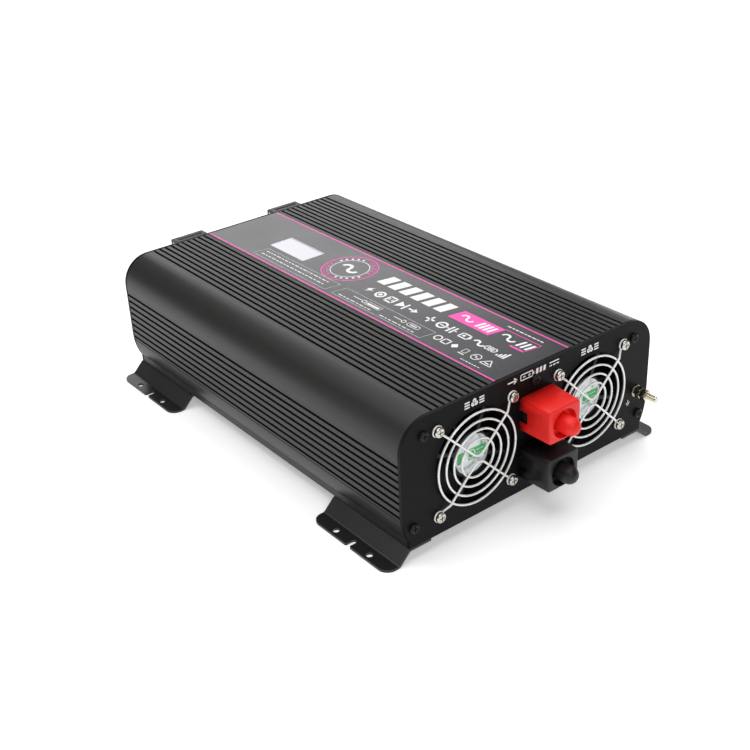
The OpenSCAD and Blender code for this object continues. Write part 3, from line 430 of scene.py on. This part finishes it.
solid(white, ((5.2, mid - 0.6), (11.2, high), (9.6, mid + 0.7),
              (13.4, mid + 0.7), (6.6, low), (8.6, mid - 0.6)))
arc(white, (23.0, mid), 4.3, pen)
arc(white, (23.0, mid), 1.0, pen, parts=16)
outline(white, (32.6, low + 0.9), (41.0, high - 0.9), pen)
for pole in (35.0, 38.6):
    bar(white, (pole, mid - 1.6), (pole, mid + 1.6), 1.2)
solid(white, ((46.4, low), (54.0, mid), (46.4, high)))
bar(white, (55.2, low), (55.2, high), pen)
bar(white, (59.4, mid), (65.2, mid), pen)
solid(white, ((64.6, low + 1.4), (69.8, mid), (64.6, high - 1.4)))
bar(white, (80.8, mid), (90.6, mid), pen)
bar(white, (85.7, low), (85.7, high), pen)
arc(white, (99.6, mid), 4.3, pen)
bar(white, (97.2, mid), (102.0, mid), 1.3)
for pole in (109.2, 113.0):
    bar(white, (pole, low), (pole, high), pen)
bar(white, (105.6, mid), (108.8, mid), 1.2)
bar(white, (113.4, mid), (116.6, mid), 1.2)
outline(white, (121.4, low + 1.8), (130.4, high - 1.8), 1.4)
block(white, (131.2, mid - 1.4), (132.4, mid + 1.4))
block(white, (123.4, low + 3.8), (126.2, high - 3.8))
wave(white, (141.6, mid), 11.0, pen)
for loop in (151.4, 154.6, 157.8):
    arc(white, (loop, mid), 2.6, 1.1, parts=24)
for step in range(4):
    block(white, (163.2 + 2.4 * step, low + 0.6), (164.8 + 2.4 * step, low + 3.0 + 2.3 * step))

# Two boxes of small print, the second with a plug, a lead and a socket drawn twice
thin, port_row = 0.35, -23.6
outline(white, (-125.5, -33.0), (-17.8, -18.0), thin, lean=2.4)
for height in (-22.4, -28.0):
    dashes(white, -119.0, -22.0, height, 1.1)
outline(white, (-8.5, -33.0), (104.0, -18.0), thin, lean=2.4)
dashes(white, -2.0, 46.0, -30.2, 1.0)
dashes(white, 52.0, 98.0, -30.2, 1.0)
bar(white, (10.0, port_row), (22.0, port_row), 0.8)
arc(white, (24.2, port_row), 2.0, 0.8)
block(white, (28.5, -25.2), (43.5, -23.0), lean=0.6)
outline(white, (27.0, -26.2), (45.0, -21.2), 0.5, lean=0.8)
bar(white, (62.0, port_row), (72.0, port_row), 0.8)
arc(white, (74.2, port_row), 2.0, 0.8)
for end in (81.5, 90.5):
    arc(white, (end, port_row), 2.3, 0.7, 90 if end < 85 else -90, 180, 14)
for edge in (-25.9, -21.3):
    bar(white, (81.5, edge), (90.5, edge), 0.7)
bar(white, (82.0, port_row), (90.0, port_row), 1.2)

# Plain shapes at the near corner: ring, square, diamond, box over a line, ring with a
# wave, and triangle
arc(white, (113.6, -22.2), 3.3, 1.2, parts=28)
outline(white, (119.4, -25.4), (125.8, -19.0), 1.2)
solid(white, ((129.0, -22.2), (132.4, -18.6), (135.8, -22.2), (132.4, -25.8)))
outline(white, (142.0, -24.8), (146.2, -19.0), 0.6)
bar(white, (141.0, -27.0), (147.6, -27.0), 1.1)
arc(white, (156.4, -22.4), 4.1, 0.8)
wave(white, (156.4, -22.4), 5.0, 0.8)
left_foot, peak, right_foot = (163.2, -26.0), (169.0, -18.2), (174.8, -26.0)
for near, far in ((left_foot, peak), (peak, right_foot), (left_foot, right_foot)):
    bar(white, near, far, 0.9)
bar(white, (166.8, -23.8), (171.2, -23.8), 1.2)
dashes(white, 150.0, 172.0, -32.4, 0.9, (2.2, 1.6, 2.6), 0.9)
dashes(white, 136.0, 176.0, 29.6, 1.2, (4.2, 2.4, 3.4), 1.0)

lay_ink("film_marks_pink", pink, film_top, pink_ink)
lay_ink("film_marks_white", white, film_top @ Matrix.Translation((0, 0, 0.00001)), white_ink)

# Display: a clear window over a small pale panel. Grey strips along the panel's right and rear edges are
# painted shade from the recess round the window.
pale_window = finish("pale_window", (0.50, 0.49, 0.55), (0.58, 0.57, 0.63), (0.10, 0.16),
                     grit=0.02, depth=0.000004, coat=0.4, coat_rough=0.05, wear=0.0, specular=0.4)
dress(pale_window, "display_window")
window_low, window_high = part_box("display_window")
window_shade_paint = finish("window_painted_shade", (0.33, 0.33, 0.37), (0.40, 0.40, 0.44), (0.2, 0.3), wear=0.0,
                     grit=0.02, depth=0.000004)
recess_shade_strips = bmesh.new()
rear, front = -window_high[1] / MM, -window_low[1] / MM
left, right = window_low[0] / MM, window_high[0] / MM
# Painted shade: grey strips on the far right and rear edges of the panel only.
block(recess_shade_strips, (rear + 0.1, right - 2.4), (front - 0.1, right - 0.1))
block(recess_shade_strips, (rear + 0.1, left + 0.1), (rear + 1.3, right - 2.5))
window_top = Matrix.Translation((0, 0, window_high[2])) @ Matrix.Rotation(math.radians(-90), 4, "Z")
lay_ink("window_painted_shade", recess_shade_strips, window_top, window_shade_paint)
resist = finish("solder_resist", (0.01, 0.10, 0.03), (0.02, 0.16, 0.05), (0.25, 0.35), cloud_scale=40)
dress(resist, "display_module")

# Fans: black glass-filled plastic frames. Each rotor is one moulding, with seven curved
# blades round a deep hub.
fan_plastic = finish("fan_plastic", (0.006, 0.006, 0.0065), (0.011, 0.011, 0.012), (0.38, 0.50),
                     grit=0.12, worn=(0.03, 0.03, 0.03), specular=0.3)
dress(fan_plastic, "fan_frame_left", "fan_frame_right")
fan_high = (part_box("fan_guard_left")[0][2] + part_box("fan_guard_left")[1][2]) / 2
plate_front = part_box("front_plate")[0][1]
plate_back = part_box("front_plate")[1][1]


def lathe(shape, profile, steps=48):
    """Turns a profile of radius and height round the upright axis."""
    rim = [shape.verts.new((r, 0, z)) for r, z in profile]
    line = [shape.edges.new(pair) for pair in zip(rim, rim[1:])]
    bmesh.ops.spin(shape, geom=[*rim, *line], cent=(0, 0, 0), axis=(0, 0, 1),
                   angle=math.tau, steps=steps, use_merge=True)
    bmesh.ops.remove_doubles(shape, verts=shape.verts, dist=0.001)
    bmesh.ops.recalc_face_normals(shape, faces=shape.faces)


def rotor(name, node, body):
    """A hub with its blades: one curved blade is drawn, then turned round the hub."""
    root, widen, strips, blades = 16.6, 2.56, 8, 7
    blade = bmesh.new()
    chord = []
    for step in range(7):
        bend = step / 6
        spot = Matrix.Rotation(math.radians(-20 + 38 * bend), 3, "Z") @ Vector((root, 0, 0))
        chord.append(blade.verts.new((spot.x, spot.y, 7.2 + 12.4 * bend ** 0.8)))
    loop = [blade.edges.new(pair) for pair in zip(chord, chord[1:])]
    lag = Matrix.Rotation(math.radians(1.6), 3, "Z")
    for step in range(strips):
        grown = bmesh.ops.extrude_edge_only(blade, edges=loop)["geom"]
        verts = [g for g in grown if isinstance(g, bmesh.types.BMVert)]
        edges_out = [g for g in grown if isinstance(g, bmesh.types.BMEdge)]
        loop = [e for e in edges_out if all(v in verts for v in e.verts)]
        reach = (root + widen * (step + 1)) / (root + widen * step)
        bmesh.ops.scale(blade, verts=verts, vec=(reach, reach, 1))
        bmesh.ops.rotate(blade, verts=verts, cent=(0, 0, 0), matrix=lag)
    bmesh.ops.recalc_face_normals(blade, faces=blade.faces)
    bmesh.ops.solidify(blade, geom=blade.faces[:], thickness=1.1)
    bmesh.ops.spin(blade, geom=blade.verts[:] + blade.edges[:] + blade.faces[:], cent=(0, 0, 0),
                   axis=(0, 0, 1), angle=math.tau * (blades - 1) / blades, steps=blades - 1,
                   use_duplicate=True)
    bmesh.ops.recalc_face_normals(blade, faces=blade.faces)
    hub = bmesh.new()
    lathe(hub, [(15.2, 5), (17, 5), (17, 20.8), (15.8, 22), (0, 22), (0, 20), (15.2, 20), (15.2, 5)], 56)
    whole = bpy.data.meshes.new(name + "_hub")
    hub.to_mesh(whole)
    hub.free()
    blade.from_mesh(whole)
    bpy.data.meshes.remove(whole)
    shaft_r, shaft_l = 1.5, 15
    shaft = bmesh.ops.create_cone(blade, cap_ends=True, segments=24, radius1=shaft_r,
                                  radius2=shaft_r, depth=shaft_l)["verts"]
    bmesh.ops.translate(blade, verts=shaft, vec=(0, 0, 13.5))
    middle = (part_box(node)[0][0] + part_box(node)[1][0]) / 2
    stand = Matrix.Translation((middle, plate_back, fan_high)) @ Matrix.Rotation(math.radians(-90), 4, "X")
    bmesh.ops.transform(blade, matrix=stand @ Matrix.Scale(MM, 4), verts=blade.verts)
    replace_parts(make_piece(name, blade, fan_plastic, body), node)


rotor("bladed_rotor_left", "fan_rotor_left", "left_rotor")
rotor("bladed_rotor_right", "fan_rotor_right", "right_rotor")

# Hub labels: a silver foil disc on each motor plate, with a green band across it.
foil = finish("silver_foil", (0.50, 0.53, 0.55), (0.80, 0.84, 0.86), (0.16, 0.34), metal=0.85,
              cloud_scale=160, grit=0.1, depth=0.00006, wear=0.0)
green_ink = finish("green_ink", (0.03, 0.42, 0.10), (0.08, 0.58, 0.18), (0.25, 0.4), wear=0.0,
                   cloud_scale=120)
discs, bands, rings = bmesh.new(), bmesh.new(), bmesh.new()
for centre in (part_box("fan_rotor_left"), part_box("fan_rotor_right")):
    middle = (centre[0][0] + centre[1][0]) / 2 / MM
    made = bmesh.ops.create_circle(discs, cap_ends=True, segments=56, radius=16.2)["verts"]
    bmesh.ops.translate(discs, verts=made, vec=(middle, 0, 0))
    block(bands, (middle - 14.2, -4.6), (middle - 8.6, 4.6))
    block(bands, (middle - 3.8, -4.6), (middle + 13.6, 4.6))
    arc(rings, (middle, 0), 15.0, 0.5)
    arc(rings, (middle, 0), 12.2, 0.5, 20, 130, 20)
    arc(rings, (middle, 0), 12.2, 0.5, 205, 120, 20)
    arc(rings, (middle - 0.6, 0), 3.4, 0.9)
    dashes(rings, middle + 4.4, middle + 12.6, 1.6, 0.7, (2.0, 1.4), 0.6)
    dashes(rings, middle + 4.4, middle + 12.6, -1.6, 0.7, (1.4, 2.0), 0.6)
on_motor = Matrix.Translation((0, plate_back + 0.0009, fan_high)) @ Matrix.Rotation(math.radians(90), 4, "X")
label_discs = lay_ink("hub_foil", discs, on_motor, foil, thick=0.2)
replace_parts(label_discs, "fan_stickers")
lay_ink("hub_bands", bands, on_motor @ Matrix.Translation((0, 0, 0.00019)), green_ink, thick=0.04)
lay_ink("hub_rings", rings, on_motor @ Matrix.Translation((0, 0, 0.00022)), white_ink, thick=0.04)

# Guards: four rings of bright wire welded to two bent cross wires, with an eye at each
# corner that a plated screw clamps to the plate.
bright_wire = finish("bright_wire", (0.88, 0.88, 0.87), (0.95, 0.95, 0.94), (0.20, 0.32), metal=0.3,
                     cloud_scale=80, wear=0.0)
dress(bright_wire, "fan_guard_left", "fan_guard_right")
dress(nickel, "fan_screws", "fan_nuts")
copper = finish("copper", (0.62, 0.28, 0.15), (0.75, 0.36, 0.20), (0.2, 0.35), metal=1.0)
dress(copper, "fan_stators")
lead_red = finish("lead_red", (0.45, 0.01, 0.01), (0.55, 0.02, 0.015), (0.3, 0.4))
dress(lead_red, "fan_leads")

# Marks on the front plate: a fan over each guard, a cell with its poles over the
# terminals, two lines for direct current, and an earth symbol by the stud.
cell_row, earth_at = 110.6, 105.9
marks = bmesh.new()
for middle in (-59.6, 58.0):
    for turn in range(3):
        lobe = Matrix.Rotation(math.radians(turn * 120 + 90), 2) @ Vector((1.7, 0))
        arc(marks, Vector((middle, 108.3)) + lobe, 1.1, 1.4, parts=16)
    for side in (-1, 1):
        for height in (106.3, 108.4, 110.5):
            bar(marks, (middle + side * 4.6, height), (middle + side * 9.4, height), 1.2)
outline(marks, (-14.5, 108.3), (-2.5, 112.9), 0.9)
block(marks, (-2.2, 109.6), (-1.0, 111.6))
bar(marks, (-12.4, cell_row), (-9.6, cell_row), 0.8)
bar(marks, (-7.2, cell_row), (-4.4, cell_row), 0.8)
bar(marks, (-5.8, 109.2), (-5.8, 112.0), 0.8)
bar(marks, (-27.5, cell_row), (-18.5, cell_row), 1.1)
bar(marks, (-21.4, 112.8), (-18.2, cell_row), 1.1)
bar(marks, (-21.4, 108.4), (-18.2, cell_row), 1.1)
for start in (0.6, 4.4, 8.2):
    block(marks, (start, 108.4), (start + 2.4, 112.8), lean=0.5)
bar(marks, (14.8, 112.2), (24.6, 112.2), 1.0)
for start in (14.8, 18.4, 22.0):
    bar(marks, (start, 109.6), (start + 2.6, 109.6), 1.0)
bar(marks, (earth_at, 42.4), (earth_at, 45.0), 0.7)
for drop, half in ((0, 2.2), (1.1, 1.4), (2.2, 0.6)):
    bar(marks, (earth_at - half, 42.4 - drop), (earth_at + half, 42.4 - drop), 0.6)
on_plate = Matrix.Translation((0, plate_front, 0)) @ Matrix.Rotation(math.radians(90), 4, "X")
lay_ink("plate_marks", marks, on_plate, white_ink)

# Terminal boots: dipped soft plastic, one red and one black. Each is a thin-walled box
# with rounded edges, a round well in its face and a hollow thimble in the well.
red_soft = finish("red_soft_plastic", (0.82, 0.014, 0.010), (0.92, 0.020, 0.015), (0.36, 0.46),
                  grit=0.08, worn=(0.85, 0.06, 0.05), wear=0.15, edge=0.0005, specular=0.35)
black_soft = finish("black_soft_plastic", (0.008, 0.008, 0.0085), (0.014, 0.014, 0.015), (0.30, 0.42),
                    grit=0.08, worn=(0.04, 0.04, 0.04), wear=0.3, edge=0.0005, specular=0.35)


def push_loop(shape, loop, out=0.0, size=1.0):
    """Carries an edge loop along its axis and resizes it, with a wall behind it."""
    grown = bmesh.ops.extrude_edge_only(shape, edges=loop)["geom"]
    verts = [g for g in grown if isinstance(g, bmesh.types.BMVert)]
    bmesh.ops.translate(shape, verts=verts, vec=(0, 0, out))
    bmesh.ops.scale(shape, verts=verts, vec=(size, size, 1))
    return [g for g in grown if isinstance(g, bmesh.types.BMEdge) and all(v in verts for v in g.verts)]


def boot(name, node, body, material):
    """A terminal boot, drawn with its mouth at z 0 and its thimble pointing up."""
    low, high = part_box(node)
    wide, tall = (high[0] - low[0]) / MM, (high[2] - low[2]) / MM
    back, face, tip = 0.4, 30.0, (plate_front - low[1]) / MM
    well, well_deep, thimble = tall / 2 - 1.4, 6.0, 7.2
    shape = bmesh.new()
    bmesh.ops.create_cube(shape, size=1)
    bmesh.ops.scale(shape, verts=shape.verts, vec=(wide, tall, face - back))
    bmesh.ops.translate(shape, verts=shape.verts, vec=(0, 0, (face + back) / 2))
    bmesh.ops.scale(shape, verts=[v for v in shape.verts if v.co.z > 20], vec=(0.95, 1, 1))
    bmesh.ops.translate(shape, verts=[v for v in shape.verts if v.co.z < 20 and v.co.x > 0], vec=(2.2, 0, 0))
    bmesh.ops.translate(shape, verts=[v for v in shape.verts if v.co.y > 0], vec=(0, 1.3, 0))
    bmesh.ops.delete(shape, geom=[f for f in shape.faces if f.normal.z < -0.9], context="FACES_ONLY")
    long_edges = [e for e in shape.edges if abs(e.verts[0].co.z - e.verts[1].co.z) > 1]
    bmesh.ops.bevel(shape, geom=long_edges, offset=3.0, affect="EDGES", segments=5, profile=0.5, material=-1)
    lip = [e for e in shape.edges if all(v.co.z > face - 0.01 for v in e.verts)]
    bmesh.ops.bevel(shape, geom=lip, offset=1.1, affect="EDGES", segments=3, profile=0.5, material=-1)
    front = max(shape.faces, key=lambda f: (f.normal.z, f.calc_area()))
    frame_edges = front.edges[:]
    bmesh.ops.delete(shape, geom=[front], context="FACES_ONLY")
    ring = bmesh.ops.create_circle(shape, cap_ends=False, segments=56, radius=well,
                                   matrix=Matrix.Translation((0, 0, face)))["verts"]
    ring_edges = list({e for v in ring for e in v.link_edges})
    bmesh.ops.triangle_fill(shape, use_beauty=True, use_dissolve=False, edges=frame_edges + ring_edges,
                            normal=(0, 0, 1))
    loop = push_loop(shape, ring_edges, out=-0.5, size=(well - 0.15) / well)
    loop = push_loop(shape, loop, out=-(well_deep - 0.5))
    loop = push_loop(shape, loop, size=(thimble + 0.6) / (well - 0.15))
    loop = push_loop(shape, loop, out=0.6, size=thimble / (thimble + 0.6))
    straight = tip - thimble - (face - well_deep) - 0.6
    loop = push_loop(shape, loop, out=straight)
    turns = 9
    for step in range(turns):
        before, after = (math.radians(90 * k / turns) for k in (step, step + 1))
        loop = push_loop(shape, loop, out=thimble * (math.sin(after) - math.sin(before)),
                         size=max(math.cos(after), 0) / math.cos(before))
    bmesh.ops.remove_doubles(shape, verts=shape.verts, dist=0.002)
    for cut, normal in (((0, 4.8, 0), (0, 1, 0)), ((0, -4.8, 0), (0, 1, 0)), ((0, 0, 8), (0, 0, 1))):
        walls = [f for f in shape.faces if abs(f.normal.x) > 0.9 and abs(f.calc_center_median().x) > 13]
        around = {v for f in walls for v in f.verts} | {e for f in walls for e in f.edges}
        bmesh.ops.bisect_plane(shape, geom=walls + list(around), plane_co=cut, plane_no=normal, dist=0.001)
    notch = [f for f in shape.faces if abs(f.normal.x) > 0.9 and abs(f.calc_center_median().x) > 13
             and abs(f.calc_center_median().y) < 4.8 and f.calc_center_median().z < 8]
    bmesh.ops.delete(shape, geom=notch, context="FACES")
    bmesh.ops.recalc_face_normals(shape, faces=shape.faces)
    middle = Vector(((low[0] + high[0]) / 2, plate_front, (low[2] + high[2]) / 2))
    stand = Matrix.Translation(middle) @ Matrix.Rotation(math.radians(90), 4, "X")
    bmesh.ops.transform(shape, matrix=stand @ Matrix.Scale(MM, 4), verts=shape.verts)
    piece = make_piece(name, shape, material, body, smooth=40)
    skin = piece.modifiers.new("wall", "SOLIDIFY")
    skin.thickness, skin.offset = 0.001, -1
    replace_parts(piece, node)


boot("red_boot", "positive_cover", "positive_boot", red_soft)
boot("black_boot", "negative_cover", "negative_boot", black_soft)

# Battery terminals under the boots: brass studs through moulded insulators.
moulded = finish("moulded_black", (0.008, 0.008, 0.0085), (0.014, 0.014, 0.015), (0.35, 0.48), grit=0.12,
                 worn=(0.04, 0.04, 0.04), specular=0.35)
dress(moulded, "terminal_insulators")
brass = finish("brass", (0.62, 0.47, 0.20), (0.74, 0.58, 0.28), (0.18, 0.30), metal=1.0, edge=0.0002)
dress(brass, "terminal_studs")
dress(nickel, "terminal_washers", "terminal_nuts")

# Earth stud: a threaded rod with two nuts, yellow-passivated zinc.
yellow_zinc = finish("yellow_zinc", (0.60, 0.55, 0.40), (0.78, 0.73, 0.58), (0.12, 0.24), metal=1.0,
                     cloud_scale=120, edge=0.0003)
dress(yellow_zinc, "earth_nuts")
dress(nickel, "earth_washers")
nuts_low, nuts_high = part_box("earth_nuts")
rod = (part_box("earth_washers")[1][0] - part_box("earth_washers")[0][0]) / MM / 4
reach = (plate_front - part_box("earth_stud")[0][1]) / MM
root = (plate_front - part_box("earth_stud")[1][1]) / MM
thread = [(0, root), (rod, root), (rod, 0)]
pitch = 0.8
for turn in range(int((reach - 0.8) / pitch)):
    thread += [(rod - 0.4, pitch * (turn + 0.5)), (rod, pitch * (turn + 1))]
thread += [(rod - 0.6, reach), (0, reach)]
stud = bmesh.new()
lathe(stud, thread, 32)
corner = 1.6 * rod / math.cos(math.pi / 6)
head = bmesh.ops.create_cone(stud, cap_ends=True, segments=6, radius1=corner, radius2=corner,
                             depth=3.9)["verts"]
bmesh.ops.translate(stud, verts=head, vec=(0, 0, root + 2))
stud_place = Matrix.Translation(((nuts_low[0] + nuts_high[0]) / 2, plate_front,
                                 (nuts_low[2] + nuts_high[2]) / 2))
stud_stand = stud_place @ Matrix.Rotation(math.radians(90), 4, "X")
bmesh.ops.transform(stud, matrix=stud_stand @ Matrix.Scale(MM, 4), verts=stud.verts)
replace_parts(make_piece("threaded_earth_stud", stud, yellow_zinc, "housing"), "earth_stud")

# Outlets at the rear: moulded frames with sprung lids on steel pins.
dress(moulded, "outlet_left", "outlet_right", "outlet_lid_left", "outlet_lid_right")
dress(nickel, "lid_pins", "lid_springs")

# Rocker switch, charging sockets and remote socket, in a column between the outlets.
dress(moulded, "switch_bezel", "usb_housing", "remote_socket")
rocker_red = finish("rocker_red", (0.45, 0.02, 0.015), (0.55, 0.03, 0.02), (0.22, 0.32), grit=0.05)
dress(rocker_red, "switch_rocker")
dress(nickel, "usb_shells")

# Electronics on a green board, out of sight behind the plates.
dress(resist, "main_board", "control_board")
dress(brass, "board_standoffs")
dress(nickel, "board_screws")
ferrite = finish("ferrite", (0.05, 0.05, 0.055), (0.08, 0.08, 0.085), (0.5, 0.65))
dress(ferrite, "transformer_cores")
tape = finish("winding_tape", (0.55, 0.42, 0.06), (0.68, 0.54, 0.10), (0.3, 0.4))
dress(tape, "transformer_windings")
sleeve = finish("can_sleeve", (0.02, 0.03, 0.12), (0.03, 0.05, 0.18), (0.25, 0.35))
dress(sleeve, "input_capacitors", "bus_capacitors")
plain_metal = finish("mill_aluminium", (0.55, 0.56, 0.57), (0.68, 0.69, 0.70), (0.28, 0.4), metal=1.0,
                     stretch=(1, 0.1, 1))
dress(plain_metal, "heat_bars")
dress(moulded, "power_transistors")
dress(copper, "output_choke", "busbars")
fuse_blue = finish("fuse_blue", (0.03, 0.15, 0.45), (0.05, 0.20, 0.55), (0.15, 0.25))
dress(fuse_blue, "blade_fuses")
